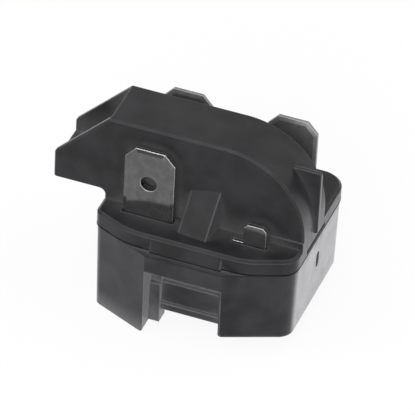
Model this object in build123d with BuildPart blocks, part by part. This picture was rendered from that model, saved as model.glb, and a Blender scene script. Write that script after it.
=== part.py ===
from build123d import *
import os
from math import radians, sqrt, tan

os.makedirs("parts", exist_ok=True)

# Compressor start relay: a moulded case that plugs onto three compressor pins,
# with a round thermistor pill standing in the dome of its cover.
# Millimetres. The origin is the centre of the pin circle, in the plane that the
# relay stands on. +Z is up, -Y is the notched front, +X the rounded end of the dome.

# Case outline, as reaches from the centre of the pin circle
case_left = 12.45
case_right = 12.6
case_back = 9.4
case_front = 12.45
front_slope = 24.0
left_corner_radius = 1.3
right_corner_radius = 2.2
back_corner_radius = 2.75
notch_foot_radius = 0.5
case_wall = 1.2
case_floor = 1.45
draft_angle = 1.0

# Heights above the plane the relay stands on
underside_z = 2.4
parting_z = 11.8
cover_top_z = 13.9
dome_roof_z = 25.55
blade_tip_z = 23.4
tab_tip_z = 16.75

# Notch in the front of the base, below the strip that joins the two blocks
notch_left = 4.95
notch_right = 4.6
strip_bottom_z = 9.3
panel_top_z = 6.25
panel_bottom_z = 3.3
upper_wall_reach = 9.0
panel_reach = 9.5
flange_reach = 9.9
notch_wall = 0.8
lug_width = 1.35
lug_shoulder_z = 6.15
lug_upper_reach = 9.6
lug_lower_reach = 10.1
lug_foot_z = 0.5

# Leg: a skirt under the left front corner
leg_back_reach = 1.6

# Pins of the compressor
pin_circle = 12.7
socket_bore = 2.4
socket_sheet = 0.35
socket_bottom_z = 3.6
socket_slot = 0.6
socket_slot_length = 2.8
mouth_radius = 1.5
mouth_lead_in = 0.35
tower_bore = 2.0
tower_wall = 0.4
collar_radius = 3.0
clip_sheet = 0.25
clip_height = 2.2
clip_gap = 1.0
clip_clearance = 0.03

# Metal inside
strap_z = 7.6
strap_sheet = 0.6
strap_margin = 0.15
start_front_y = -7.5
start_back_y = -4.5
start_right_x = 9.4
arm_front_y = -0.9
arm_back_y = 0.9
arm_right_x = 5.2
common_front_y = 1.6
rest_width = 0.8
rivet_radius = 0.8
rivet_head_radius = 1.1
rivet_head_height = 0.4
rivet_clearance = 0.03

# Blade terminals and the small tab
blade_width = 6.3
blade_sheet = 0.8
blade_chamfer_width = 1.3
blade_chamfer_height = 1.45
blade_hole = 2.05
blade_hole_drop = 4.63
blade_bevel_width = 0.45
blade_bevel_depth = 0.2
front_blade_x = -6.45
front_blade_y = -7.95
left_blade_x = -6.6
right_blade_x = 6.7
rear_blade_y = 4.9
front_foot_back_y = -4.6
rear_foot_back_y = 8.0
tab_x = 7.15
tab_y = -8.15
tab_width = 2.8
tab_sheet = 0.5
tab_corner = 0.45
tab_shoulder = 1.3
tab_shoulder_z = 14.05
tab_foot_back_y = -5.0
slot_clearance = 0.15

# Cover
cover_overhang = 0.1
cover_front = 11.25
cover_front_radius = 8.0
cover_skirt_depth = 0.9
cover_edge_bevel = 0.35
apron_reach = 11.8
apron_top_z = 13.4
lip_depth = 1.0
lip_sheet = 0.8
lip_clearance = 0.1

# Dome of the cover and its horn
dome_front_y = -6.5
dome_back_y = 1.1
dome_wall = 0.95
dome_left = 12.2
dome_arc_z = 15.25
horn_reach = 19.0
horn_bottom_z = 15.05
horn_end_z = 18.85
horn_floor_z = 17.2
horn_wall = 0.65
horn_end_radius = 0.6
horn_toe_radius = 0.3
horn_root_radius = 0.8
dome_edge_bevel = 0.2
plinth_left_x = 6.5
plinth_step = 0.15
plinth_height = 1.0

# Rib beside the rounded end, and the gusset on the dome's front
rib_front_y = -2.8
rib_sheet = 0.55
rib_reach = 13.15
rib_top_z = 22.6
rib_corner = 0.3
gusset_width = 3.75
gusset_x = 0.3
gusset_foot = 3.1
gusset_height = 4.95
gusset_shift = -0.55
gusset_lean = 0.2

# Latch of the cover on the right side
latch_front_y = -5.0
latch_back_y = 1.4
latch_low = 0.3
latch_gap = 0.6
latch_depth = 0.8
key_slot_y = -0.15
key_slot_z = 8.0
key_slot_width = 1.0
key_slot_length = 2.3

# Thermistor pill, its saddle and its two leaf springs
pill_x = 2.5
pill_y = -2.5
pill_z = 15.7
pill_radius = 8.2
pill_thickness = 2.8
saddle_sheet = 1.2
saddle_half_span = 7.0
saddle_top_z = 10.5
saddle_clearance = 0.05
spring_sheet = 0.3
spring_width = 5.0
spring_bend = 0.6
spring_bend_z = 11.0
spring_touch = 3.0
spring_tip_rise = 3.5
spring_foot_length = 1.4
spring_gap = 0.2

# Worked out from the sizes above
slope = tan(radians(front_slope))
left_corner_y = -case_front + (case_left - notch_left) * slope
right_corner_y = -case_front + (case_right - notch_right) * slope
floor_z = underside_z + case_floor
strap_top_z = strap_z + strap_sheet
socket_outer = socket_bore / 2 + socket_sheet
tower_reach = tower_bore + tower_wall
skirt_roof_z = parting_z + cover_skirt_depth
dome_radius = dome_roof_z - dome_arc_z
dome_right_x = case_right + cover_overhang
dome_arc_x = dome_right_x - dome_radius
pill_front_y = pill_y - pill_thickness / 2
pill_back_y = pill_y + pill_thickness / 2
notch_inner_y = -upper_wall_reach + notch_wall
start_pin = (0, -pin_circle / 2)
run_pin = (-pin_circle / 2 * sqrt(3) / 2, pin_circle / 4)
common_pin = (-run_pin[0], run_pin[1])
pins = {"start": start_pin, "run": run_pin, "common": common_pin}
front_left_x = front_blade_x - blade_width / 2
left_left_x = left_blade_x - blade_width / 2
right_right_x = right_blade_x + blade_width / 2
front_rivet_y = (front_blade_y + blade_sheet + front_foot_back_y) / 2
rear_rivet_y = (rear_blade_y + blade_sheet + rear_foot_back_y) / 2
tab_rivet_y = (tab_y + tab_sheet + tab_foot_back_y) / 2
front_rivet = (front_blade_x, front_rivet_y)
left_rivet = (left_blade_x, rear_rivet_y)
right_rivet = (right_blade_x, rear_rivet_y)
tab_rivet = (tab_x, tab_rivet_y)
NEAR = 0.01
LOW = (Align.CENTER, Align.CENTER, Align.MIN)
CORNER = (Align.MIN, Align.MIN)


def case_outline(front=case_front, corner=left_corner_radius, nose=0.0, inset=0.0):
    """Face of the case's plan, cut off straight at a front reach and shrunk by an inset."""
    left_nose = notch_left + (case_front - front) / slope
    right_nose = notch_right + (case_front - front) / slope
    with BuildSketch(mode=Mode.PRIVATE) as plan:
        with BuildLine():
            FilletPolyline(
                (-case_left, case_back),
                (-case_left, left_corner_y),
                (-left_nose, -front),
                (right_nose, -front),
                (case_right, right_corner_y),
                (case_right, case_back),
                radius=[
                    back_corner_radius,
                    corner,
                    nose,
                    nose,
                    right_corner_radius,
                    back_corner_radius,
                ],
                close=True,
            )
        make_face()
        if inset:
            offset(amount=-inset, kind=Kind.INTERSECTION)
    return plan.sketch


def inner_plan(clearance):
    """Face of the room inside the base, which stays clear of its walls and the notch's."""
    notch_span = notch_left + notch_right + 2 * (case_wall + clearance)
    with BuildSketch(mode=Mode.PRIVATE) as room:
        add(case_outline(inset=case_wall + clearance))
        with Locations((-notch_left - case_wall - clearance, -case_front)):
            Rectangle(
                notch_span,
                case_front + notch_inner_y + clearance,
                align=CORNER,
                mode=Mode.SUBTRACT,
            )
    return room.sketch


# Base: two blocks joined by a strip over the notch, a leg and three pin towers
with BuildPart() as base_housing:
    with BuildSketch(Plane.XY.offset(parting_z)):
        add(case_outline())
    extrude(amount=-parting_z, taper=draft_angle)

    # Everything but the leg ends at the underside
    with BuildSketch():
        Rectangle(4 * case_left, 4 * case_front)
        with Locations((-case_left - case_wall, -case_front - case_wall)):
            Rectangle(
                case_left + case_wall - notch_left,
                case_front + case_wall - leg_back_reach,
                align=CORNER,
                mode=Mode.SUBTRACT,
            )
    extrude(amount=underside_z, mode=Mode.SUBTRACT)

    # Hollow of the leg, open below
    with BuildSketch():
        add(case_outline(inset=case_wall))
        with Locations((-case_left, -case_front)):
            Rectangle(
                case_left - notch_left - case_wall,
                case_front - leg_back_reach - case_wall,
                align=CORNER,
                mode=Mode.INTERSECT,
            )
    extrude(amount=underside_z, mode=Mode.SUBTRACT)

    # Room inside, open at the parting plane
    with BuildSketch(Plane.XY.offset(parting_z)):
        add(case_outline(inset=case_wall))
    extrude(amount=floor_z - parting_z, mode=Mode.SUBTRACT)
    with BuildSketch(Plane.XY.offset(underside_z)):
        with Locations((-notch_left - case_wall, -case_front + case_wall)):
            Rectangle(
                notch_left + notch_right + 2 * case_wall,
                case_front - case_wall + notch_inner_y,
                align=CORNER,
            )
    extrude(amount=parting_z - underside_z)

    # Notch, in steps behind the strip
    with BuildSketch(Plane.YZ.offset(-notch_left)):
        with BuildLine():
            Polyline(
                (-2 * case_front, strip_bottom_z),
                (-upper_wall_reach, strip_bottom_z),
                (-upper_wall_reach, panel_top_z),
                (-panel_reach, panel_top_z),
                (-panel_reach, panel_bottom_z),
                (-flange_reach, panel_bottom_z),
                (-flange_reach, 0),
                (-2 * case_front, 0),
                close=True,
            )
        make_face()
    extrude(amount=notch_left + notch_right, mode=Mode.SUBTRACT)
    foot_edges = base_housing.edges().filter_by(
        lambda e: abs(e.center().X + notch_left) < NEAR
        and e.center().Z < NEAR
        or abs(e.center().X - notch_right) < NEAR
        and abs(e.center().Z - underside_z) < NEAR
    )
    fillet(foot_edges, radius=notch_foot_radius)

    # Lug down the left side of the notch
    with BuildSketch(Plane.YZ.offset(-notch_left)):
        with BuildLine():
            Polyline(
                (-lug_lower_reach, lug_foot_z),
                (-lug_lower_reach, lug_shoulder_z),
                (-lug_upper_reach, lug_shoulder_z),
                (-lug_upper_reach, strip_bottom_z),
                (notch_inner_y, strip_bottom_z),
                (notch_inner_y, lug_foot_z),
                close=True,
            )
        make_face()
    extrude(amount=lug_width)

    # Towers of the pin sockets, with collars under the two rear ones
    with Locations(*[(x, y, underside_z) for x, y in pins.values()]):
        Box(2 * tower_reach, 2 * tower_reach, strap_z - underside_z, align=LOW)
    with Locations(run_pin, common_pin):
        Cylinder(collar_radius, floor_z, align=LOW)
    with Locations(*pins.values()):
        Cylinder(mouth_radius, strap_z, align=LOW, mode=Mode.SUBTRACT)
    with Locations(*[(x, y, socket_bottom_z) for x, y in pins.values()]):
        Cylinder(tower_bore, strap_z - socket_bottom_z, align=LOW, mode=Mode.SUBTRACT)
    mouth_edges = base_housing.edges().filter_by(
        lambda e: e.geom_type == GeomType.CIRCLE
        and abs(e.radius - mouth_radius) < mouth_lead_in / 10
        and e.center().Z < underside_z + mouth_lead_in
    )
    chamfer(mouth_edges, length=mouth_lead_in)

    # Rests for the ends of the straps
    rests = [
        (front_left_x, start_front_y, start_back_y),
        (start_right_x - rest_width, start_front_y, start_back_y),
        (left_left_x, run_pin[1] - tower_bore, run_pin[1] + tower_bore),
        (right_right_x - rest_width, common_pin[1] - tower_bore, common_pin[1] + tower_bore),
        (arm_right_x - rest_width, arm_front_y, 0),
    ]
    for rest_x, rest_front_y, rest_back_y in rests:
        with Locations((rest_x, rest_front_y, underside_z)):
            Box(
                rest_width,
                rest_back_y - rest_front_y,
                strap_z - underside_z,
                align=(Align.MIN, Align.MIN, Align.MIN),
            )

    # Saddle that the pill stands on
    with BuildSketch(Plane.XZ.offset(-pill_y - saddle_sheet / 2)):
        with Locations((pill_x - saddle_half_span, underside_z)):
            Rectangle(2 * saddle_half_span, saddle_top_z - underside_z, align=CORNER)
        with Locations((pill_x, pill_z)):
            Circle(pill_radius + saddle_clearance, mode=Mode.SUBTRACT)
    extrude(amount=saddle_sheet)

    # Key slot in the right wall
    with BuildSketch(Plane.YZ.offset(case_right)):
        with Locations((key_slot_y, key_slot_z)):
            SlotOverall(key_slot_length, key_slot_width, rotation=90)
    extrude(amount=-2 * case_wall, mode=Mode.SUBTRACT)

base_housing.part.label = "base_housing"
export_step(base_housing.part, "parts/base_housing.step")


def dome_outline(inset=0.0, low=parting_z):
    """Side view of the dome: straight left wall, flat roof, quarter round right end."""
    with BuildSketch(Plane.XZ, mode=Mode.PRIVATE) as outline:
        with BuildLine():
            Polyline(
                (dome_right_x - inset, low),
                (dome_right_x - inset, dome_arc_z),
            )
            CenterArc((dome_arc_x, dome_arc_z), dome_radius - inset, 0, 90)
            Polyline(
                (dome_arc_x, dome_roof_z - inset),
                (-dome_left + inset, dome_roof_z - inset),
                (-dome_left + inset, low),
                (dome_right_x - inset, low),
            )
        make_face()
    return outline.sketch


# Dome and horn, one side view with its edges rounded
with BuildPart() as dome:
    with BuildSketch(Plane.XZ.offset(-dome_back_y)):
        with BuildLine():
            left_foot = (-case_left, skirt_roof_z)
            FilletPolyline(
                left_foot,
                (-case_left, horn_bottom_z),
                (-horn_reach, horn_bottom_z),
                (-horn_reach, horn_end_z),
                (-dome_left, dome_roof_z),
                (dome_arc_x, dome_roof_z),
                radius=[horn_root_radius, horn_toe_radius, horn_end_radius, horn_toe_radius],
            )
            CenterArc((dome_arc_x, dome_arc_z), dome_radius, 0, 90)
            Polyline((dome_right_x, dome_arc_z), (dome_right_x, skirt_roof_z), left_foot)
        make_face()
    extrude(amount=dome_back_y - dome_front_y)
    side_faces = dome.faces().filter_by(Axis.Y)
    chamfer(
        side_faces.edges().filter_by(lambda e: e.center().Z > skirt_roof_z + NEAR),
        length=dome_edge_bevel,
    )

# Gusset: a wedge with a leaning top, which stands on the lid against the dome
with BuildPart() as gusset:
    with BuildSketch(Plane.XY.offset(skirt_roof_z)):
        with BuildLine():
            Polyline(
                (gusset_x - gusset_width / 2, dome_front_y + dome_wall / 2),
                (gusset_x - gusset_width / 2, dome_front_y),
                (gusset_x - gusset_width / 2 + 2 * gusset_shift, dome_front_y - 2 * gusset_foot),
                (gusset_x + gusset_width / 2 + 2 * gusset_shift, dome_front_y - 2 * gusset_foot),
                (gusset_x + gusset_width / 2, dome_front_y),
                (gusset_x + gusset_width / 2, dome_front_y + dome_wall / 2),
                close=True,
            )
        make_face()
    extrude(amount=dome_roof_z - skirt_roof_z)
    split(
        bisect_by=Plane(
            origin=(gusset_x, dome_front_y, cover_top_z + gusset_height),
            x_dir=(1, 0, gusset_lean),
            z_dir=(-gusset_lean, -gusset_height / gusset_foot, 1),
        ),
        keep=Keep.BOTTOM,
    )

# Cover: a lid with a locating lip, the dome with its trough, a rib and a gusset
with BuildPart() as cover:
    with BuildSketch(Plane.XY.offset(parting_z)):
        add(case_outline(front=cover_front, nose=cover_front_radius))
        offset(amount=cover_overhang)
    extrude(amount=cover_top_z - parting_z)
    chamfer(cover.faces().sort_by(Axis.Z)[-1].edges(), length=cover_edge_bevel)
    add(dome.part)

    # Apron over the strip between the two blocks
    with BuildSketch(Plane.YZ.offset(-notch_left + 2 * slot_clearance)):
        with BuildLine():
            Polyline(
                (-cover_front, parting_z),
                (-apron_reach, parting_z),
                (-cover_front - cover_overhang, apron_top_z),
                (-cover_front, apron_top_z),
                close=True,
            )
        make_face()
    extrude(amount=notch_left + notch_right - 4 * slot_clearance)

    # Plinth at the foot of the dome's front, near the rounded end
    with BuildSketch(Plane.XY.offset(skirt_roof_z)):
        with Locations((plinth_left_x, dome_front_y - plinth_step)):
            Rectangle(dome_right_x - plinth_left_x, dome_wall, align=CORNER)
    extrude(amount=cover_top_z + plinth_height - skirt_roof_z)

    # Rib beside the rounded end
    with BuildSketch(Plane.XZ.offset(-rib_front_y)):
        with BuildLine():
            FilletPolyline(
                (dome_arc_x, cover_top_z),
                (rib_reach, cover_top_z),
                (rib_reach, rib_top_z),
                (dome_arc_x, rib_top_z),
                radius=[rib_corner, rib_corner],
            )
            Line((dome_arc_x, rib_top_z), (dome_arc_x, cover_top_z))
        make_face()
    extrude(amount=-rib_sheet)
    add(gusset.part)

    # Trough of the horn, open above
    with BuildSketch(Plane.XY.offset(horn_floor_z)):
        with Locations((-horn_reach - horn_wall, dome_front_y + horn_wall)):
            Rectangle(
                horn_reach + horn_wall - dome_left,
                dome_back_y - dome_front_y - 2 * horn_wall,
                align=CORNER,
            )
    extrude(amount=dome_roof_z, mode=Mode.SUBTRACT)

    # Hollow under the lid, with the lip that locates it in the base
    with BuildSketch(Plane.XY.offset(parting_z)):
        add(case_outline(front=cover_front, inset=case_wall, nose=cover_front_radius))
    extrude(amount=cover_skirt_depth, mode=Mode.SUBTRACT)
    with BuildSketch(Plane.XY.offset(parting_z - lip_depth)):
        add(inner_plan(clearance=lip_clearance))
        add(inner_plan(clearance=lip_clearance + lip_sheet), mode=Mode.SUBTRACT)
    extrude(amount=lip_depth + cover_skirt_depth)

    # Room of the pill inside the dome, open to the base
    with BuildSketch(Plane.XZ.offset(-dome_back_y + dome_wall)):
        add(dome_outline(inset=dome_wall, low=parting_z - lip_depth))
    extrude(amount=dome_back_y - dome_front_y - 2 * dome_wall, mode=Mode.SUBTRACT)

    # Slots for the blades and the small tab
    slots = [
        (front_blade_x, front_blade_y, blade_width, blade_sheet),
        (left_blade_x, rear_blade_y, blade_width, blade_sheet),
        (right_blade_x, rear_blade_y, blade_width, blade_sheet),
        (tab_x - tab_shoulder / 2, tab_y, tab_width + tab_shoulder, tab_sheet),
    ]
    with BuildSketch(Plane.XY.offset(parting_z - lip_depth)):
        for slot_x, slot_y, slot_width, slot_sheet in slots:
            with Locations((slot_x, slot_y + slot_sheet / 2)):
                Rectangle(slot_width + 2 * slot_clearance, slot_sheet + 2 * slot_clearance)
    extrude(amount=cover_top_z - parting_z + lip_depth, mode=Mode.SUBTRACT)

    # Latch window in the right edge
    with BuildSketch(Plane.YZ.offset(case_right + cover_overhang)):
        with Locations((latch_front_y, parting_z + latch_low)):
            Rectangle(latch_back_y - latch_front_y, latch_gap, align=CORNER)
    extrude(amount=-latch_depth, mode=Mode.SUBTRACT)

cover.part.label = "cover"
export_step(cover.part, "parts/cover.step")

# Thermistor pill, standing on edge
with BuildPart() as ptc_pill:
    with BuildSketch(Plane.XZ.offset(-pill_back_y)):
        with Locations((pill_x, pill_z)):
            Circle(pill_radius)
    extrude(amount=pill_thickness)
ptc_pill.part.label = "ptc_pill"
export_step(ptc_pill.part, "parts/ptc_pill.step")


def pill_spring(label, face_y, wall_y, outward, foot_left_x):
    """Leaf that stands on a strap, bows onto the pill and leans on the dome's wall."""
    half = spring_sheet / 2
    touch_y = face_y + outward * half
    riser_y = wall_y - outward * (half + spring_gap)
    foot_z = strap_top_z + half
    touch_low_z = pill_z - spring_touch / 2
    touch_high_z = pill_z + spring_touch / 2
    with BuildPart() as leaf:
        with BuildSketch(Plane.YZ.offset(pill_x - spring_width / 2)):
            with BuildLine():
                FilletPolyline(
                    (riser_y + outward * spring_foot_length, foot_z),
                    (riser_y, foot_z),
                    (riser_y, spring_bend_z),
                    (touch_y, touch_low_z),
                    (touch_y, touch_high_z),
                    (riser_y, touch_high_z + spring_tip_rise),
                    radius=spring_bend,
                )
            trace(line_width=spring_sheet)
        extrude(amount=spring_width)
        foot_cut = foot_left_x - (pill_x - spring_width / 2)
        if foot_cut > 0:
            with Locations((pill_x - spring_width / 2, riser_y, strap_top_z)):
                Box(
                    2 * foot_cut,
                    4 * spring_foot_length,
                    spring_bend_z / 2 - strap_top_z / 2,
                    align=LOW,
                    mode=Mode.SUBTRACT,
                )
    leaf.part.label = label
    export_step(leaf.part, f"parts/{label}.step")


pill_spring(
    "front_pill_spring", pill_front_y, dome_front_y + dome_wall, -1, tower_reach + strap_margin
)
pill_spring("rear_pill_spring", pill_back_y, dome_back_y - dome_wall, 1, pill_x - spring_width / 2)


def blade_terminal(label, centre_x, front_y, foot_back_y, rivet_y):
    """Push-on blade with a bevelled tip and a foot riveted to a strap."""
    left_x = centre_x - blade_width / 2
    with BuildPart() as blade:
        with BuildSketch(Plane.XZ.offset(-front_y)):
            with Locations((left_x, strap_top_z)):
                Rectangle(blade_width, blade_tip_z - strap_top_z, align=CORNER)
            add(blade_tip_corners(left_x), mode=Mode.SUBTRACT)
            with Locations((centre_x, blade_tip_z - blade_hole_drop)):
                Circle(blade_hole / 2, mode=Mode.SUBTRACT)
        extrude(amount=-blade_sheet)
        for side in (0, -1):
            flat_face = blade.faces().filter_by(Axis.Y).sort_by(Axis.Y)[side]
            rim_edges = flat_face.edges().filter_by(
                lambda e: e.geom_type == GeomType.LINE and e.center().Z > strap_top_z + NEAR
            )
            chamfer(
                rim_edges,
                length=blade_bevel_width,
                length2=blade_bevel_depth,
                reference=flat_face,
            )
        with BuildSketch(Plane.XY.offset(strap_top_z)):
            with Locations((left_x, front_y)):
                Rectangle(blade_width, foot_back_y - front_y, align=CORNER)
            with Locations((centre_x, rivet_y)):
                Circle(rivet_radius + rivet_clearance, mode=Mode.SUBTRACT)
        extrude(amount=blade_sheet)
    blade.part.label = label
    export_step(blade.part, f"parts/{label}.step")


def blade_tip_corners(left_x):
    """Two corner triangles that leave the blade's tip narrower."""
    right_x = left_x + blade_width
    low_z = blade_tip_z - blade_chamfer_height
    with BuildSketch(Plane.XY, mode=Mode.PRIVATE) as corners:
        for side_x, inward in ((left_x, 1), (right_x, -1)):
            with BuildLine():
                Polyline(
                    (side_x, low_z),
                    (side_x + inward * blade_chamfer_width, blade_tip_z),
                    (side_x, blade_tip_z),
                    close=True,
                )
            make_face()
    return corners.sketch


blade_terminal("front_blade", front_blade_x, front_blade_y, front_foot_back_y, front_rivet_y)
blade_terminal("rear_left_blade", left_blade_x, rear_blade_y, rear_foot_back_y, rear_rivet_y)
blade_terminal("rear_right_blade", right_blade_x, rear_blade_y, rear_foot_back_y, rear_rivet_y)

# Small tab of thinner sheet
with BuildPart() as small_tab:
    with BuildSketch(Plane.XZ.offset(-tab_y)):
        with Locations((tab_x, strap_top_z)):
            Rectangle(tab_width, tab_tip_z - strap_top_z, align=(Align.CENTER, Align.MIN))
    extrude(amount=-tab_sheet)
    chamfer(
        small_tab.edges().filter_by(Axis.Y).group_by(Axis.Z)[-1],
        length=tab_corner,
    )
    with BuildSketch(Plane.XZ.offset(-tab_y)):
        with Locations((tab_x - tab_width / 2 - tab_shoulder, cover_top_z - tab_shoulder)):
            Rectangle(
                tab_width,
                tab_shoulder_z - cover_top_z + tab_shoulder,
                align=CORNER,
            )
    extrude(amount=-tab_sheet)
    with BuildSketch(Plane.XY.offset(strap_top_z)):
        with Locations((tab_x, tab_y)):
            Rectangle(tab_width, tab_foot_back_y - tab_y, align=(Align.CENTER, Align.MIN))
        with Locations((tab_x, tab_rivet_y)):
            Circle(rivet_radius + rivet_clearance, mode=Mode.SUBTRACT)
    extrude(amount=tab_sheet)
small_tab.part.label = "small_tab"
export_step(small_tab.part, "parts/small_tab.step")

# Pin sockets, each a slotted tube crimped into its strap, and their clips
for name, (pin_x, pin_y) in pins.items():
    with BuildPart() as socket:
        with BuildSketch(Plane.XY.offset(socket_bottom_z)):
            with Locations((pin_x, pin_y)):
                Circle(socket_outer)
                Circle(socket_bore / 2, mode=Mode.SUBTRACT)
        extrude(amount=strap_top_z - socket_bottom_z)
        with BuildSketch(Plane.XY.offset(socket_bottom_z)):
            with Locations((pin_x, pin_y)):
                Rectangle(4 * socket_outer, socket_slot)
        extrude(amount=socket_slot_length, mode=Mode.SUBTRACT)
    socket.part.label = f"{name}_socket"
    export_step(socket.part, f"parts/{name}_socket.step")

    clip_inner = socket_outer + clip_clearance
    with BuildPart() as clip:
        with BuildSketch(Plane.XY.offset(socket_bottom_z + clip_height / 4)):
            with Locations((pin_x, pin_y)):
                Circle(clip_inner + clip_sheet)
                Circle(clip_inner, mode=Mode.SUBTRACT)
            with Locations((pin_x, pin_y + clip_inner)):
                Rectangle(clip_gap, clip_inner, mode=Mode.SUBTRACT)
        extrude(amount=clip_height)
    clip.part.label = f"{name}_socket_clip"
    export_step(clip.part, f"parts/{name}_socket_clip.step")


def strap(label, pads, pin, rivets):
    """Flat strap of overlapping pads, with a hole for its socket and its rivets."""
    with BuildPart() as plate:
        with BuildSketch(Plane.XY.offset(strap_z)):
            for left_x, right_x, front_y, back_y in pads:
                with Locations((left_x, front_y)):
                    Rectangle(right_x - left_x, back_y - front_y, align=CORNER)
            with Locations(pin):
                Circle(socket_outer, mode=Mode.SUBTRACT)
            with Locations(*rivets):
                Circle(rivet_radius + rivet_clearance, mode=Mode.SUBTRACT)
        extrude(amount=strap_sheet)
    plate.part.label = label
    export_step(plate.part, f"parts/{label}.step")


strap(
    "start_strap",
    [
        (front_left_x, start_right_x, start_front_y, start_back_y),
        (front_left_x, -notch_left - case_wall - strap_margin, front_blade_y, start_back_y),
        (notch_right + case_wall + strap_margin, start_right_x, tab_y, start_back_y),
    ],
    start_pin,
    [front_rivet, tab_rivet],
)
strap(
    "run_strap",
    [
        (left_left_x, run_pin[0] + tower_reach, arm_front_y, rear_foot_back_y),
        (left_left_x, arm_right_x, arm_front_y, arm_back_y),
    ],
    run_pin,
    [left_rivet],
)
strap(
    "common_strap",
    [(common_pin[0] - tower_reach, right_right_x, common_front_y, rear_foot_back_y)],
    common_pin,
    [right_rivet],
)

# Rivets that hold the terminals on the straps, peened flush below
with BuildPart() as terminal_rivets:
    blade_stack = [front_rivet, left_rivet, right_rivet]
    for rivet in [*blade_stack, tab_rivet]:
        foot_sheet = blade_sheet if rivet in blade_stack else tab_sheet
        stack_top_z = strap_top_z + foot_sheet
        with Locations((*rivet, strap_z)):
            Cylinder(rivet_radius, stack_top_z - strap_z, align=LOW)
        with Locations((*rivet, stack_top_z)):
            Cylinder(rivet_head_radius, rivet_head_height, align=LOW)
terminal_rivets.part.label = "terminal_rivets"
export_step(terminal_rivets.part, "parts/terminal_rivets.step")
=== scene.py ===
# %% [markdown]
# A plug-on compressor start relay, dressed for a product photograph.
# The real one is two black thermoset mouldings, a base and a domed cover, with tin-plated
# blades that stand through slots in the cover. This file takes the exact solids as they are
# and gives each one the surface that its material has in the hand: moulding grain, softened
# edges, rolled and stamped metal. Lengths are metres, and MM turns millimetres into metres.

# %% The solids
import math
import bmesh
import bpy
import mathutils
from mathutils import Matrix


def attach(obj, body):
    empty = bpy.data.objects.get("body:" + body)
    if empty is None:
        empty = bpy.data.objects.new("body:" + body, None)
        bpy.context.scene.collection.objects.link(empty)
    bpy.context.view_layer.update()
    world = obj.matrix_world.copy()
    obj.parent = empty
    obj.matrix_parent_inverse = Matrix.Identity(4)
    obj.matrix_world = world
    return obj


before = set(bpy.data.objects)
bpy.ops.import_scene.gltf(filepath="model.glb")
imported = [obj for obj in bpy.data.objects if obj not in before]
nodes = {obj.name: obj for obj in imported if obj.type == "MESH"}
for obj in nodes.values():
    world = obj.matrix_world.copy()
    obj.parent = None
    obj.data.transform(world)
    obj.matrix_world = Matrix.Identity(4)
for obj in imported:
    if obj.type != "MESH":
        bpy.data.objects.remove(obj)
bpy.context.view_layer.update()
MM = 0.001


# %% [markdown]
# A node tree is easier to read when each node is made in one line. `put` makes a node, names
# it and fills its inputs: each input takes a plain value, or the output that feeds it. The
# other helpers make the kinds of node that come back most and give their output at once. Every
# finish below then reads as a list of what it is made of.

# %% Helpers: one node
def feed(tree, socket, source):
    """Link an input to the output that feeds it, or set it to a plain value."""
    if isinstance(source, bpy.types.NodeSocket):
        tree.links.new(source, socket)
    else:
        socket.default_value = source


def put(tree, kind, label, settings=None, **inputs):
    """One node of a tree, with its properties and its inputs by name."""
    node = tree.nodes.new(kind)
    node.name = node.label = label
    for key, value in (settings or {}).items():
        setattr(node, key, value)
    for key, source in inputs.items():
        feed(tree, node.inputs[key.replace("_", " ")], source)
    return node


def on_object(tree):
    """Where a point lies on its object, in metres from the relay's origin."""
    return put(tree, "ShaderNodeTexCoord", "Place on the object").outputs["Object"]


def face_normal(tree):
    """The way that a face looks."""
    return put(tree, "ShaderNodeNewGeometry", "Way the face looks").outputs["Normal"]


def axes(tree, label, vector):
    """The outputs X, Y and Z of a vector."""
    return put(tree, "ShaderNodeSeparateXYZ", label, Vector=vector).outputs


print("helpers for single nodes ready")

# %% [markdown]
# Masks are sums and products of simple things: a height, a direction, a noise. `calc` is one
# step of that arithmetic, `ramp` stretches a part of a range to another one, `mix` blends two
# colours or numbers, and `noise` is the source of everything that is uneven.

# %% Helpers: arithmetic, ramps, mixes and noise
# Places of the share, the two sources and the result among the sockets of a mix node
MIX_PLACES = {"FLOAT": (0, 2, 3, 0), "RGBA": (0, 6, 7, 2)}


def calc(tree, operation, label, first, second=None, clamp=False):
    """The result of one step of arithmetic."""
    node = put(tree, "ShaderNodeMath", label, {"operation": operation, "use_clamp": clamp})
    feed(tree, node.inputs[0], first)
    if second is not None:
        feed(tree, node.inputs[1], second)
    return node.outputs["Value"]


def ramp(tree, label, value, start, end, low=0.0, high=1.0, course="LINEAR"):
    """A value turned into another: low at the start and before it, high from the end on."""
    node = put(
        tree, "ShaderNodeMapRange", label, {"interpolation_type": course},
        Value=value, From_Min=start, From_Max=end, To_Min=low, To_Max=high,
    )
    return node.outputs["Result"]


def mix(tree, label, share, first, second, kind="RGBA", way="MIX"):
    """Two colours or numbers blended by a share of the second."""
    node = put(tree, "ShaderNodeMix", label, {"data_type": kind, "blend_type": way})
    *places, result = MIX_PLACES[kind]
    for place, source in zip(places, (share, first, second)):
        feed(tree, node.inputs[place], source)
    return node.outputs[result]


def noise(tree, label, place, rate, **shape):
    """Noise at a place, with about that many features a metre."""
    node = put(tree, "ShaderNodeTexNoise", label, Vector=place, Scale=rate, **shape)
    return node.outputs["Fac"]


def per_metre(tree, label, size):
    """How many features of a size fit in a metre, which is what noise asks for."""
    return calc(tree, "DIVIDE", label, 1.0, size)


print("helpers for masks ready")

# %% [markdown]
# What several finishes share is a group: a small tree with sockets of its own, made once and
# used as one node. Every finish starts from an empty material and ends in its output, and every
# soft edge is a normal that is rounded over a small radius when the picture is made.

# %% Helpers: groups and materials
FLOAT = "NodeSocketFloat"
COLOUR = "NodeSocketColor"
BEVEL_SAMPLES = 6
OPENNESS_SAMPLES = 8


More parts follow.
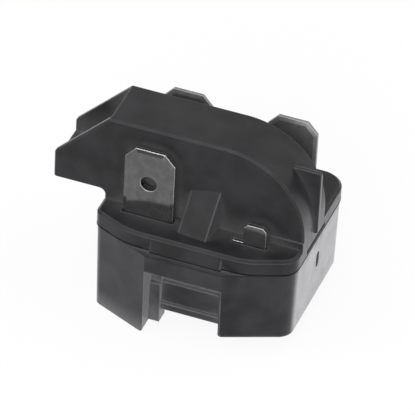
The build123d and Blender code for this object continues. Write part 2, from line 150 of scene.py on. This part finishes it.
def new_group(name, inputs, outputs):
    """An empty group with named sockets: its tree, what it is given and what it gives out."""
    tree = bpy.data.node_groups.new(name, "ShaderNodeTree")
    for socket, kind, value in inputs:
        made = tree.interface.new_socket(name=socket, in_out="INPUT", socket_type=kind)
        made.default_value = value
    for socket, kind in outputs:
        tree.interface.new_socket(name=socket, in_out="OUTPUT", socket_type=kind)
    given, out = tree.nodes.new("NodeGroupInput"), tree.nodes.new("NodeGroupOutput")
    return tree, given.outputs, out.inputs


def use(tree, label, group, **inputs):
    """The outputs of a group, used as one node."""
    return put(tree, "ShaderNodeGroup", label, {"node_tree": group}, **inputs).outputs


def soft_normal(tree, label, radius):
    """The way the surface looks when its edges are rounded."""
    node = put(tree, "ShaderNodeBevel", label, {"samples": BEVEL_SAMPLES}, Radius=radius)
    return node.outputs["Normal"]


def empty_material(name):
    """A material with an empty node tree, and that tree."""
    material = bpy.data.materials.new(name)
    material.use_nodes = True
    material.node_tree.nodes.clear()
    return material, material.node_tree


def finish_with(tree, shader):
    """The end of a material's tree."""
    put(tree, "ShaderNodeOutputMaterial", "Surface", Surface=shader)


def opaque(colour):
    """A colour with its fourth number."""
    return (*colour, 1)


print("helpers for groups and materials ready")

# %% [markdown]
# Moulded thermoset is never a perfect mirror. The steel of the mould was spark-eroded, which
# leaves a fine even grain, and the resin flowed in from one side, which leaves broad, very
# faint patches that are a little glossier. Both could come from a picture of real plastic, but
# that needs an unwrapped mesh and shows its seams. Noise reads the place in space and has none,
# so both are noise, at two scales. The group gives a height for the bump, a roughness and a
# tone, so that each moulding can use its own amounts.

# %% Group: the skin of a moulding
def mould_skin_group():
    tree, given, out = new_group(
        "Mould skin",
        [
            ("Grain Size", FLOAT, 0.12 * MM),
            ("Patch Size", FLOAT, 4.0 * MM),
            ("Smoothest", FLOAT, 0.34),
            ("Roughest", FLOAT, 0.5),
            ("Dark", COLOUR, opaque((0.02, 0.02, 0.022))),
            ("Pale", COLOUR, opaque((0.03, 0.03, 0.033))),
        ],
        [("Height", FLOAT), ("Roughness", FLOAT), ("Colour", COLOUR)],
    )
    place = on_object(tree)
    grains = per_metre(tree, "Grains a metre", given["Grain Size"])
    patches = per_metre(tree, "Patches a metre", given["Patch Size"])
    grain = noise(tree, "Spark-eroded grain", place, grains, Detail=3.0, Roughness=0.6)
    patch = noise(
        tree, "Flow patches", place, patches, Detail=2.5, Roughness=0.5, Distortion=0.3
    )
    shine = ramp(
        tree, "Patch to roughness", patch, 0.35, 0.65, given["Smoothest"], given["Roughest"]
    )
    spread = ramp(tree, "Full range of patches", patch, 0.3, 0.7, course="SMOOTHSTEP")
    tone = mix(tree, "Patch to tone", spread, given["Dark"], given["Pale"])
    feed(tree, out["Height"], grain)
    feed(tree, out["Roughness"], shine)
    feed(tree, out["Colour"], tone)
    return tree


mould_skin = mould_skin_group()
print("group:", mould_skin.name, "with", len(mould_skin.nodes), "nodes")

# %% [markdown]
# Outer edges get a paler colour: a painted highlight, strongest on edges that look up or to
# the right, where the light comes from. Only edges that stick out get it, never inner corners.
# Pointiness could find them, but it is known only at the vertices and smears right across a
# large flat face. An ambient occlusion node that looks into the solid is sharper: near an outer
# edge its rays soon meet the other face, and near an inner corner they don't. The group turns
# that into a mask and breaks it up with noise, so the painted highlight is uneven.

# %% Group: rubbed edges
# the way that the painted edge highlight favours: towards the light
LIGHT_COMES_FROM = (0.5, 0.0, 0.87)  # up and to the right


def edge_highlight_group():
    tree, given, out = new_group(
        "Painted edge highlights",
        [
            ("Width", FLOAT, 0.24 * MM),
            ("Breakup", FLOAT, 0.8),
            ("Breakup Size", FLOAT, 2.2 * MM),
        ],
        [("Mask", FLOAT)],
    )
    inward = put(
        tree, "ShaderNodeAmbientOcclusion", "Look into the solid",
        {"inside": True, "only_local": True, "samples": OPENNESS_SAMPLES},
        Distance=given["Width"],
    )
    edge = ramp(tree, "Edge", inward.outputs["AO"], 0.97, 0.72)
    reach = put(
        tree, "ShaderNodeVectorMath", "Towards the light", {"operation": "DOT_PRODUCT"}
    )
    feed(tree, reach.inputs[0], soft_normal(tree, "Normal with soft edges", 0.2 * MM))
    feed(tree, reach.inputs[1], LIGHT_COMES_FROM)
    upward = ramp(tree, "Most on edges that look up", reach.outputs["Value"], -0.1, 0.5)
    reached = calc(tree, "MULTIPLY", "Edges that face the light", edge, upward)
    breaks = per_metre(tree, "Breaks a metre", given["Breakup Size"])
    rubbing = noise(tree, "Uneven highlight", on_object(tree), breaks, Detail=4.0)
    uneven = mix(tree, "Some of the noise", given["Breakup"], 1.0, rubbing, kind="FLOAT")
    feed(tree, out["Mask"], calc(tree, "MULTIPLY", "Edge times noise", reached, uneven))
    return tree


edge_highlights = edge_highlight_group()
print("group:", edge_highlights.name)

# %% [markdown]
# Faces that are closed in get a paler colour: painted light, standing in for light that reaches
# the notch, the trough of the horn and the foot of the dome. An ambient occlusion node that looks
# outwards measures how closed in a point is, and noise keeps the painted light uneven. Inside
# the open trough of the horn even the less closed faces get it. The group turns that into a mask,
# which the mouldings use for a paler, duller tone. The trough is the place left of the dome, over
# the lid and between the two walls; each of the three fades in over a short way.

# %% Group: painted light in the corners
TROUGH_FROM_X, TROUGH_FULL_X = -9.0 * MM, -12.0 * MM
TROUGH_FROM_Z, TROUGH_FULL_Z = 15.5 * MM, 16.8 * MM
TROUGH_MIDDLE_Y = -2.7 * MM
TROUGH_HALF_WIDTH = 3.05 * MM
WALL_FROM, WALL_FULL = 0.25 * MM, 0.05 * MM


def in_trough(tree, place):
    """One in the trough of the horn, nought elsewhere."""
    along = axes(tree, "Along the relay", place)
    leftwards = ramp(tree, "Left of the dome", along["X"], TROUGH_FROM_X, TROUGH_FULL_X)
    above = ramp(tree, "Over the lid", along["Z"], TROUGH_FROM_Z, TROUGH_FULL_Z)
    left_and_high = calc(tree, "MULTIPLY", "Left and over the lid", leftwards, above)
    off_middle = calc(
        tree, "SUBTRACT", "Off the trough's middle line", along["Y"], TROUGH_MIDDLE_Y
    )
    either_way = calc(tree, "ABSOLUTE", "To either side", off_middle)
    between = ramp(
        tree, "Between the trough's walls", either_way,
        TROUGH_HALF_WIDTH + WALL_FROM, TROUGH_HALF_WIDTH + WALL_FULL,
    )
    return calc(tree, "MULTIPLY", "In the trough", left_and_high, between)


def painted_corner_light_group():
    tree, given, out = new_group(
        "Painted light in corners",
        [("Reach", FLOAT, 5.0 * MM), ("Clump Size", FLOAT, 1.5 * MM)],
        [("Mask", FLOAT)],
    )
    place = on_object(tree)
    trough = in_trough(tree, place)
    outward = put(
        tree, "ShaderNodeAmbientOcclusion", "How closed in",
        {"samples": OPENNESS_SAMPLES}, Distance=given["Reach"],
    )
    least = ramp(tree, "Any inner face of the trough", trough, 0.0, 1.0, 0.75, 0.98)
    closed = ramp(tree, "Closed in", outward.outputs["AO"], least, 0.2)
    clumps_a_metre = per_metre(tree, "Clumps a metre", given["Clump Size"])
    clumps = noise(tree, "Clumps", place, clumps_a_metre, Detail=5.0, Roughness=0.6)
    spread = ramp(tree, "Thin and thick", clumps, 0.3, 0.7, low=0.7)
    both = calc(tree, "MULTIPLY", "Closed in and clumped", closed, spread)
    open_end = ramp(tree, "Most in the open trough", trough, 0.0, 1.0, 0.65, 1.8)
    lying = calc(tree, "MULTIPLY", "Painted light that lies there", both, open_end, clamp=True)
    feed(tree, out["Mask"], lying)
    return tree


painted_corner_light = painted_corner_light_group()
print("group:", painted_corner_light.name)

# %% [markdown]
# The cover is only pressed onto the base. Along the joint the upright faces on both sides get
# painted shade: a dark band where the shadow line under the cover's rim falls. The group makes
# two masks from the height over the floor: one for that painted shade on upright faces, and one
# that keeps the painted edge highlight away from the ledge. The shadow line itself is a dark bead
# of its own, further down.

# %% Group: painted shade at the joint between base and cover
JOINT_HEIGHT = 11.8 * MM


def joint_line_group():
    tree, given, out = new_group(
        "Joint line",
        [("Level", FLOAT, JOINT_HEIGHT), ("Half Width", FLOAT, 0.35 * MM)],
        [("Mask", FLOAT), ("Away", FLOAT)],
    )
    height = axes(tree, "Height over the floor", on_object(tree))["Z"]
    apart = calc(tree, "SUBTRACT", "Over or under the joint", height, given["Level"])
    distance = calc(tree, "ABSOLUTE", "Distance", apart)
    fade = ramp(
        tree, "Fades out", distance, 0.0, given["Half Width"], 1.0, 0.0, "SMOOTHSTEP"
    )
    tilt = axes(tree, "Up or sideways", face_normal(tree))["Z"]
    level = calc(tree, "ABSOLUTE", "How level the face is", tilt)
    upright = calc(tree, "SUBTRACT", "Only on upright faces", 1.0, level)
    feed(tree, out["Mask"], calc(tree, "MULTIPLY", "Joint on upright faces", fade, upright))
    feed(tree, out["Away"], calc(tree, "SUBTRACT", "Away from the joint", 1.0, fade))
    return tree


joint_line = joint_line_group()
print("group:", joint_line.name)

# %% [markdown]
# A plug-on relay is pulled off by its two ends, so the skin of the flat right side is rubbed
# smooth: seen along the face it mirrors the white floor and looks pale. Towards the joint the
# gloss is scuffed off in short upright strokes. A glossier material of its own would start in a
# hard line, so the group finds the faces that look right and mottles the result, which the
# mouldings use as the weight of a thin clear coat.

# %% Group: the handled side
SCUFFED_FROM_Z, SCUFFED_FULL_Z = 9.2 * MM, 12.5 * MM
RIGHT_END_FROM_X, RIGHT_END_FULL_X = 10.0 * MM, 11.0 * MM
SHORT_STROKES = (1500, 1500, 420)  # features a metre along x, y and z


def handled_side_group():
    tree, given, out = new_group(
        "Handled side",
        [("Share", FLOAT, 1.0), ("Mottle Size", FLOAT, 1.6 * MM)],
        [("Coat", FLOAT)],
    )
    turn = axes(tree, "To the right or not", face_normal(tree))["X"]
    right = ramp(tree, "Faces that look right", turn, 0.9, 0.995, course="SMOOTHSTEP")
    place = on_object(tree)
    mottles = per_metre(tree, "Mottles a metre", given["Mottle Size"])
    mottle = noise(tree, "Mottle", place, mottles, Detail=4.0, Roughness=0.6)
    uneven = ramp(tree, "Nowhere quite dull", mottle, 0.3, 0.6, low=0.6)
    mottled = calc(tree, "MULTIPLY", "Right side, mottled", right, uneven)
    upright = put(
        tree, "ShaderNodeMapping", "Drawn out upwards", Vector=place, Scale=SHORT_STROKES
    )
    strokes = noise(
        tree, "Short strokes", upright.outputs["Vector"], 1.0, Detail=3.0, Roughness=0.6
    )
    spot = axes(tree, "Height over the floor", place)
    near_joint = ramp(
        tree, "Towards the joint", spot["Z"], SCUFFED_FROM_Z, SCUFFED_FULL_Z, high=0.5
    )
    scuffed = calc(tree, "ADD", "Strokes and height", strokes, near_joint)
    left = ramp(tree, "Gloss that is left", scuffed, 0.98, 0.66, low=0.3)
    rubbed = calc(tree, "MULTIPLY", "Less where it is scuffed", mottled, left)
    outer_end = ramp(
        tree, "Only at the right end", spot["X"], RIGHT_END_FROM_X, RIGHT_END_FULL_X
    )
    at_end = calc(tree, "MULTIPLY", "Rubbed at the end", rubbed, outer_end)
    feed(tree, out["Coat"], calc(tree, "MULTIPLY", "Its share", at_end, given["Share"]))
    return tree


handled_side = handled_side_group()
print("group:", handled_side.name)

# %% [markdown]
# A finish is one Principled shader with those groups in front of it. `moulding` is used twice:
# the base and the cover come out of different moulds, so their grain and gloss differ a
# little. What is the same all over, such as the index of refraction, is set on the shader. The
# sheen is the pale bloom that fine grain shows when it is seen along the face.

# %% Finish: black moulded thermoset
# the colour of the painted shade along the joint
JOINT_SHADE = (0.002, 0.002, 0.002)
BLOOM_TINT = (0.95, 0.93, 1.0)


def moulding(
    name, grain_size, smoothest, roughest, dark, pale, edge_highlight_tone, corner_light_tone, bloom, handled
):
    """Black thermoset, from its grain to how much of its right side is rubbed smooth."""
    material, tree = empty_material(name)
    skin = use(
        tree, "Skin", mould_skin, Grain_Size=grain_size, Smoothest=smoothest,
        Roughest=roughest, Dark=opaque(dark), Pale=opaque(pale),
    )
    edges = use(tree, "Edges", edge_highlights)
    joint = use(tree, "Joint", joint_line)
    corner_light = use(tree, "Painted shading", painted_corner_light)
    side = use(tree, "Side", handled_side, Share=handled)
    # painted highlight: a paler colour on outer edges, kept off the joint
    rubbed = calc(
        tree, "MULTIPLY", "Painted highlight away from the joint", edges["Mask"], joint["Away"]
    )
    # painted light: a paler colour where the relay is closed in
    corner_lit = mix(tree, "Paler in the corners", corner_light["Mask"], skin["Colour"], opaque(corner_light_tone))
    colour = mix(tree, "Paler at the edges", rubbed, corner_lit, opaque(edge_highlight_tone))
    # painted shade: a dark band along the joint
    jointed = mix(tree, "Dark at the joint", joint["Mask"], colour, opaque(JOINT_SHADE))
    bump = put(
        tree, "ShaderNodeBump", "Grain in relief", Strength=0.22, Distance=0.02 * MM,
        Height=skin["Height"], Normal=soft_normal(tree, "Soft edges", 0.12 * MM),
    )
    shader = put(
        tree, "ShaderNodeBsdfPrincipled", "Plastic",
        Base_Color=jointed, Roughness=skin["Roughness"], Normal=bump.outputs["Normal"],
        IOR=1.5, Specular_IOR_Level=0.16,
        Sheen_Weight=bloom, Sheen_Roughness=0.36, Sheen_Tint=opaque(BLOOM_TINT),
        Coat_Weight=side["Coat"], Coat_Roughness=0.2,
    )
    finish_with(tree, shader.outputs["BSDF"])
    return material


base_black = moulding(
    "Base moulding",
    grain_size=0.11 * MM,
    smoothest=0.26,
    roughest=0.44,
    dark=(0.009, 0.009, 0.0105),
    pale=(0.024, 0.024, 0.027),
    edge_highlight_tone=(0.24, 0.24, 0.245),
    corner_light_tone=(0.31, 0.31, 0.315),
    bloom=0.75,
    handled=1.0,
)
cover_black = moulding(
    "Cover moulding",
    grain_size=0.14 * MM,
    smoothest=0.28,
    roughest=0.4,
    dark=(0.011, 0.011, 0.012),
    pale=(0.02, 0.02, 0.0215),
    edge_highlight_tone=(0.095, 0.095, 0.098),
    corner_light_tone=(0.15, 0.15, 0.153),
    bloom=0.22,
    handled=0.6,
)
print("finishes:", base_black.name, cover_black.name)

# %% [markdown]
# The blades are stamped out of tin-plated strip. Rolling leaves faint streaks along the strip,
# and the plating is slightly cloudy. An anisotropic gloss could stand for the streaks, but it
# shows none of them singly, so they are noise that is drawn out along the strip. The rim gets a
# painted highlight: a brighter colour on the edge mask again. The bevel over the tip of the
# front blade gets painted shade: a darker colour, found by how far the face looks up: more than
# a side bevel, less than a chamfered corner. The rear blades are duller strip.

# %% Finish: rolled and plated metal
STREAKS_UPWARDS = (9000, 9000, 500)  # features a metre along x, y and z
STREAKS_ACROSS = (500, 9000, 9000)
NO_STREAKS = (2500, 2500, 2500)
CLOUDS_A_METRE = 900.0
LEAST_SLANT, MOST_SLANT = 0.33, 0.66  # upward share of a face's normal


def on_slanted_face(tree):
    """One on a face that leans back like the bevel over a blade's tip, nought elsewhere."""
    tilt = axes(tree, "Upright or slanted", face_normal(tree))["Z"]
    over = calc(tree, "GREATER_THAN", "Looks up a little", tilt, LEAST_SLANT)
    under = calc(tree, "LESS_THAN", "But not straight up", tilt, MOST_SLANT)
    return calc(tree, "MULTIPLY", "Slanted", over, under)


def rolled_metal(
    name, dull, clear, rim, smoothest, roughest, streaks_a_metre, metal_share,
    bevel_shade=1.0,
):
    """Plated strip; bevel shade is the share of tone that painted shade leaves on a slanted
    bevel.
    """
    material, tree = empty_material(name)
    place = on_object(tree)
    drawn_out = put(
        tree, "ShaderNodeMapping", "Drawn out along the strip",
        Vector=place, Scale=streaks_a_metre,
    )
    streaks = noise(
        tree, "Rolling streaks", drawn_out.outputs["Vector"], 1.0, Detail=5.0, Roughness=0.65
    )
    cloud = noise(
        tree, "Cloudy plating", place, CLOUDS_A_METRE, Detail=4.0, Distortion=0.8
    )
    clouded = ramp(tree, "Full range of clouds", cloud, 0.33, 0.67)
    tint = mix(tree, "Plating", clouded, opaque(dull), opaque(clear))
    # painted shade: a darker colour on the slanted bevel over the tip
    bevel_shaded = mix(
        tree, "Painted shade on the slanted bevel", on_slanted_face(tree), tint,
        opaque((bevel_shade, bevel_shade, bevel_shade)), way="MULTIPLY",
    )
    edges = use(tree, "Edges", edge_highlights, Breakup=0.15, Width=0.12 * MM)
    # painted highlight: the rim colour on the edges
    colour = mix(tree, "Bright rim", edges["Mask"], bevel_shaded, opaque(rim))
    gloss = ramp(tree, "Streaks to roughness", streaks, 0.3, 0.7, smoothest, roughest)
    bump = put(
        tree, "ShaderNodeBump", "Streaks in relief", Strength=0.12, Distance=0.002 * MM,
        Height=streaks, Normal=soft_normal(tree, "Soft edges", 0.06 * MM),
    )
    shader = put(
        tree, "ShaderNodeBsdfPrincipled", "Metal", Metallic=metal_share,
        Base_Color=colour, Roughness=gloss, Normal=bump.outputs["Normal"],
    )
    finish_with(tree, shader.outputs["BSDF"])
    return material


blade_tin = rolled_metal(
    "Tinned blade",
    dull=(0.085, 0.085, 0.087),
    clear=(0.12, 0.12, 0.12),
    rim=(0.65, 0.65, 0.64),
    smoothest=0.1,
    roughest=0.16,
    streaks_a_metre=STREAKS_UPWARDS,
    metal_share=0.75,
    bevel_shade=0.1,
)
rear_tin = rolled_metal(
    "Duller tinned blade",
    dull=(0.17, 0.17, 0.172),
    clear=(0.22, 0.22, 0.22),
    rim=(0.4, 0.4, 0.4),
    smoothest=0.28,
    roughest=0.38,
    streaks_a_metre=STREAKS_UPWARDS,
    metal_share=0.5,
)
print("finishes:", blade_tin.name, rear_tin.name)

# %% [markdown]
# Inside the case the same recipe serves for the brass sockets and straps, for the spring strip
# of the clips and leaves, and for the metallised faces of the pill, which aren't rolled at all.

# %% Finishes of the metal inside
brass_tin = rolled_metal(
    "Tinned brass",
    dull=(0.42, 0.4, 0.34),
    clear=(0.55, 0.53, 0.46),
    rim=(0.7, 0.66, 0.55),
    smoothest=0.3,
    roughest=0.45,
    streaks_a_metre=STREAKS_ACROSS,
    metal_share=0.9,
)
spring_strip = rolled_metal(
    "Spring strip",
    dull=(0.36, 0.36, 0.36),
    clear=(0.48, 0.48, 0.48),
    rim=(0.7, 0.7, 0.7),
    smoothest=0.25,
    roughest=0.4,
    streaks_a_metre=STREAKS_UPWARDS,
    metal_share=0.9,
)
pill_face = rolled_metal(
    "Metallised pill",
    dull=(0.42, 0.42, 0.41),
    clear=(0.55, 0.55, 0.53),
    rim=(0.3, 0.29, 0.28),
    smoothest=0.5,
    roughest=0.65,
    streaks_a_metre=NO_STREAKS,
    metal_share=0.6,
)
print("finishes:", brass_tin.name, spring_strip.name, pill_face.name)

# %% [markdown]
# Each solid takes one finish. A table of finish to solids keeps that in one place, and a short
# loop hands them out, so a solid that is missing from the table shows up at once.

# %% Finishes on the solids
finish_of = {
    base_black: ["base_housing"],
    cover_black: ["cover"],
    blade_tin: ["front_blade", "small_tab"],
    rear_tin: ["rear_left_blade", "rear_right_blade"],
    brass_tin: [
        "start_socket", "run_socket", "common_socket",
        "start_strap", "run_strap", "common_strap", "terminal_rivets",
    ],
    spring_strip: [
        "start_socket_clip", "run_socket_clip", "common_socket_clip",
        "front_pill_spring", "rear_pill_spring",
    ],
    pill_face: ["ptc_pill"],
}
dressed = 0
for finish, names in finish_of.items():
    for name in names:
        mesh = nodes[name].data
        mesh.materials.clear()
        mesh.materials.append(finish)
        dressed += 1
print("dressed", dressed, "of", len(nodes), "solids")

# %% [markdown]
# A dark bead runs under the rim of the cover, all the way round the foot of its wall. It is
# painted shade: a dark thing put where the shadow line under the rim falls, and seen from the
# front it is the dark line that parts cover and base. The painted dark band in the skin is too
# soft for it, so it is a real bead. Its path could be worked out from the cover's sizes, but a
# cut follows the solid whatever they are: the path is the cover's own outline just over the
# joint, found by cutting a copy of its mesh with a level plane.

# %% Outline of the cover's foot
BEAD_HEIGHT = 0.13 * MM
BEAD_PROUD = 0.02 * MM
BEAD_SUNK = 0.03 * MM
SAME_POINT = 0.001 * MM


def in_turn(points):
    """Each point of a closed loop with the one after it."""
    return zip(points, points[1:] + points[:1])


def signed_area(points):
    """Twice the area that a flat loop encloses, positive when it runs anticlockwise."""
    return sum(a.x * b.y - b.x * a.y for a, b in in_turn(points))


def closed_loops(edges):
    """The loops that a set of joined edges makes, as flat points in order."""
    beside = {}
    for edge in edges:
        first, second = edge.verts
        beside.setdefault(first, []).append(second)
        beside.setdefault(second, []).append(first)
    loops, seen = [], set()
    for start in sorted(beside, key=lambda v: tuple(v.co)):
        if start in seen:
            continue
        loop, at = [], start
        while at is not None:
            seen.add(at)
            loop.append(mathutils.Vector(at.co[:2]))
            at = next((v for v in beside[at] if v not in seen), None)
        loops.append(loop)
    return loops


def foot_outline(mesh, height):
    """The outer loop where a level plane cuts a mesh, anticlockwise."""
    cut = bmesh.new()
    cut.from_mesh(mesh)
    bmesh.ops.remove_doubles(cut, verts=cut.verts, dist=SAME_POINT)
    everything = cut.verts[:] + cut.edges[:] + cut.faces[:]
    made = bmesh.ops.bisect_plane(
        cut, geom=everything, plane_co=(0, 0, height), plane_no=(0, 0, 1)
    )
    loops = closed_loops([e for e in made["geom_cut"] if isinstance(e, bmesh.types.BMEdge)])
    cut.free()
    outer = max(loops, key=lambda points: abs(signed_area(points)))
    return outer if signed_area(outer) > 0 else outer[::-1]


outline = foot_outline(nodes["cover"].data, JOINT_HEIGHT + BEAD_HEIGHT / 2)
length = sum((b - a).length for a, b in in_turn(outline))
print("outline:", len(outline), "points,", round(length / MM, 1), "mm round")

# %% [markdown]
# The bead is that outline swept with a tiny flat section, 0.13 mm high, which starts inside the
# cover's wall and stands 0.02 mm proud of it. At each point the section faces the middle of the
# ways before and after it. It could be a curve with a bevel too, but a ring of plain faces is
# closed, light and exact.

# %% Bead of painted shade at the joint
LEAST_AGREEMENT = 0.5  # length of the sum of two ways; 2 is straight on, 0 is straight back


def rightwards(way):
    """A flat way turned a quarter to the right, which is outwards on an anticlockwise loop."""
    return mathutils.Vector((way.y, -way.x))


def outward_at(before, here, after):
    """The way out of an anticlockwise loop at one of its points."""
    towards, onwards = (here - before).normalized(), (after - here).normalized()
    middle = rightwards(towards) + rightwards(onwards)
    return middle.normalized() if middle.length > LEAST_AGREEMENT else rightwards(onwards)


def swept_bead(name, points, sunk, proud, low, high):
    """A closed ring with a flat section, from inside the wall to just outside it."""
    ring = bmesh.new()
    sections = []
    for before, (here, after) in zip(points[-1:] + points[:-1], in_turn(points)):
        outward = outward_at(before, here, after)
        inner, outer = here - outward * sunk, here + outward * proud
        corners = [(*inner, low), (*outer, low), (*outer, high), (*inner, high)]
        sections.append([ring.verts.new(corner) for corner in corners])
    for one, two in in_turn(sections):
        for (one_here, one_next), (two_here, two_next) in zip(in_turn(one), in_turn(two)):
            ring.faces.new((one_here, two_here, two_next, one_next))
    bmesh.ops.recalc_face_normals(ring, faces=ring.faces)
    mesh = bpy.data.meshes.new(name)
    ring.to_mesh(mesh)
    ring.free()
    bead = bpy.data.objects.new(name, mesh)
    bpy.context.collection.objects.link(bead)
    return bead


joint_bead = swept_bead(
    "joint_shade", outline, BEAD_SUNK, BEAD_PROUD, JOINT_HEIGHT, JOINT_HEIGHT + BEAD_HEIGHT
)
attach(joint_bead, "root")
print("bead:", len(joint_bead.data.polygons), "faces")

# %% [markdown]
# The painted shade has no gloss. The same skin of noise serves, with finer grains, almost full
# roughness and next to no mirror reflection, so the bead stays dark from every side.

# %% Finish: dull black for the painted shade
def dull_shade(name, dark, pale):
    """Dull black for painted shade."""
    material, tree = empty_material(name)
    skin = use(
        tree, "Skin", mould_skin, Grain_Size=0.05 * MM, Patch_Size=0.8 * MM,
        Smoothest=0.8, Roughest=0.95, Dark=opaque(dark), Pale=opaque(pale),
    )
    bump = put(
        tree, "ShaderNodeBump", "Fine grain",
        Strength=0.5, Distance=0.02 * MM, Height=skin["Height"],
    )
    shader = put(
        tree, "ShaderNodeBsdfPrincipled", "Painted shading", Specular_IOR_Level=0.05,
        Base_Color=skin["Colour"], Roughness=skin["Roughness"],
        Normal=bump.outputs["Normal"],
    )
    finish_with(tree, shader.outputs["BSDF"])
    return material


# the dull black of the painted shade at the joint
joint_shade = dull_shade("Joint shade", dark=(0.004, 0.004, 0.004), pale=(0.014, 0.014, 0.015))
joint_bead.data.materials.append(joint_shade)
print("finish:", joint_shade.name)

# %% [markdown]
# Floor and sky are each two things at once: the white of the page for a ray that ends in the
# picture, and a source of even light for every other ray. Both need the same test for such a
# ray and the same blend of two shaders.

# %% Helpers for floor and sky
WHITE = (1.0, 1.0, 1.0)


def mix_shaders(tree, label, share, first, second):
    """Two shaders blended by a share of the second."""
    node = put(tree, "ShaderNodeMixShader", label)
    for socket, source in zip(node.inputs, (share, first, second)):
        feed(tree, socket, source)
    return node.outputs["Shader"]


def looked_at(tree):
    """One for a ray that ends in a picture: straight, by a reflection or through glass."""
    path = put(tree, "ShaderNodeLightPath", "Which ray").outputs
    camera_or_glossy = calc(
        tree, "MAXIMUM", "Camera or glossy", path["Is Camera Ray"], path["Is Glossy Ray"]
    )
    return calc(
        tree, "MAXIMUM", "Or through glass", camera_or_glossy, path["Is Transmission Ray"]
    )


print("helpers for floor and sky ready")

# %% [markdown]
# The relay stands on white card in even light from all round. The floor is a plain white plane.
# More light on it would make it white in the picture too, but would bleach the relay. So to
# the camera and to reflections it is mostly its own white, which keeps the page clean, and the
# rest of it is lit card, which keeps the relay's shadow.

# %% Floor
FLOOR_SIZE = 6.0  # metres
CARD_WHITE = (0.92, 0.92, 0.92)
LIT_SHARE = 0.1

bpy.ops.mesh.primitive_plane_add(size=FLOOR_SIZE, location=(0, 0, 0))
floor = bpy.context.object
floor.name = "floor"
card, tree = empty_material("White card")
lit_card = put(tree, "ShaderNodeBsdfDiffuse", "Lit card", Color=opaque(CARD_WHITE))
own_white = put(tree, "ShaderNodeEmission", "Own white", Color=opaque(WHITE), Strength=1.0)
seen = mix_shaders(
    tree, "What is seen", LIT_SHARE, own_white.outputs["Emission"], lit_card.outputs["BSDF"]
)
finish_with(
    tree, mix_shaders(tree, "Seen or lit", looked_at(tree), lit_card.outputs["BSDF"], seen)
)
card.cycles.emission_sampling = "NONE"
floor.data.materials.append(card)
print("floor:", floor.name, FLOOR_SIZE, "m square")

# %% [markdown]
# The light is a white tent: an even pale sky and three large soft lamps. The sky lights the
# relay with less than half of the white that the picture shows behind it, so that the lamps
# still shape it.

# %% Sky
SKY_STRENGTH = 0.45

world = bpy.data.worlds.new("White tent")
bpy.context.scene.world = world
world.use_nodes = True
world.cycles.sampling_method = "NONE"
tree = world.node_tree
tree.nodes.clear()
sky = put(
    tree, "ShaderNodeBackground", "Even sky", Color=opaque(WHITE), Strength=SKY_STRENGTH
)
page = put(tree, "ShaderNodeBackground", "White page", Color=opaque(WHITE), Strength=1.0)
behind = mix_shaders(
    tree, "Page for the camera", looked_at(tree),
    sky.outputs["Background"], page.outputs["Background"],
)
put(tree, "ShaderNodeOutputWorld", "World", Surface=behind)
print("sky:", world.name)

# %% [markdown]
# One lamp stands high on the left, one is low in front of the relay and lights its upright
# faces, and a weaker one on the right fills the end. Black plastic shows almost nothing but what
# it reflects, so the shape reads from how much of the white floor and sky each face catches.

# %% Lamps
RELAY_MIDDLE = mathutils.Vector((0, 0, 0.012))


def soft_lamp(name, place, size, watts):
    """A square lamp that looks at the middle of the relay."""
    light = bpy.data.lights.new(name, "AREA")
    light.shape = "SQUARE"
    light.size = size
    light.energy = watts
    lamp = bpy.data.objects.new(name, light)
    bpy.context.collection.objects.link(lamp)
    lamp.location = place
    away = mathutils.Vector(place) - RELAY_MIDDLE
    lamp.rotation_euler = away.to_track_quat("Z", "Y").to_euler()
    return lamp


lamps = [
    soft_lamp("key_left", place=(-0.45, -0.5, 0.8), size=1.2, watts=5.5),
    soft_lamp("low_front", place=(0.12, -1.0, 0.33), size=0.9, watts=8.5),
    soft_lamp("fill_right", place=(0.6, 0.15, 0.6), size=1.0, watts=3.0),
]
print("lamps:", [lamp.name for lamp in lamps])

# %% [markdown]
# The camera stands where the photographer's stood: a little to the right of the front, looking
# down, with a slight roll, and far enough away for the long sides to look nearly parallel. It
# is set by two angles, a roll and a distance, and its lens by the size of the relay in the frame.

# %% Camera
IMAGE_WIDTH = 415  # pixels
FOCAL_LENGTH = 5044  # pixels
SENSOR_WIDTH = 36  # millimetres, as the lens below
NEAREST, FARTHEST = 0.01, 20  # metres
azimuth, elevation, roll = math.radians(18.86), math.radians(37.49), math.radians(3.10)
aim = mathutils.Vector((-0.69, -2.91, 13.56)) * MM
distance = 599.24 * MM

level_share = math.cos(elevation)
back = mathutils.Vector((
    math.sin(azimuth) * level_share,
    -math.cos(azimuth) * level_share,
    math.sin(elevation),
))
level = mathutils.Vector((math.cos(azimuth), math.sin(azimuth), 0))
upright = back.cross(level)
right = math.cos(roll) * level + math.sin(roll) * upright
up = -math.sin(roll) * level + math.cos(roll) * upright
turn = mathutils.Matrix((right, up, back)).transposed().to_4x4()

camera_data = bpy.data.cameras.new("camera")
camera_data.sensor_width = SENSOR_WIDTH
camera_data.lens = FOCAL_LENGTH / IMAGE_WIDTH * SENSOR_WIDTH
camera_data.clip_start = NEAREST
camera_data.clip_end = FARTHEST
camera = bpy.data.objects.new("camera", camera_data)
bpy.context.collection.objects.link(camera)
camera.matrix_world = mathutils.Matrix.Translation(aim + distance * back) @ turn
bpy.context.scene.camera = camera
bpy.context.scene.view_settings.view_transform = "Standard"
print("lens:", round(camera_data.lens, 1), "mm, from", [round(v, 3) for v in camera.location])
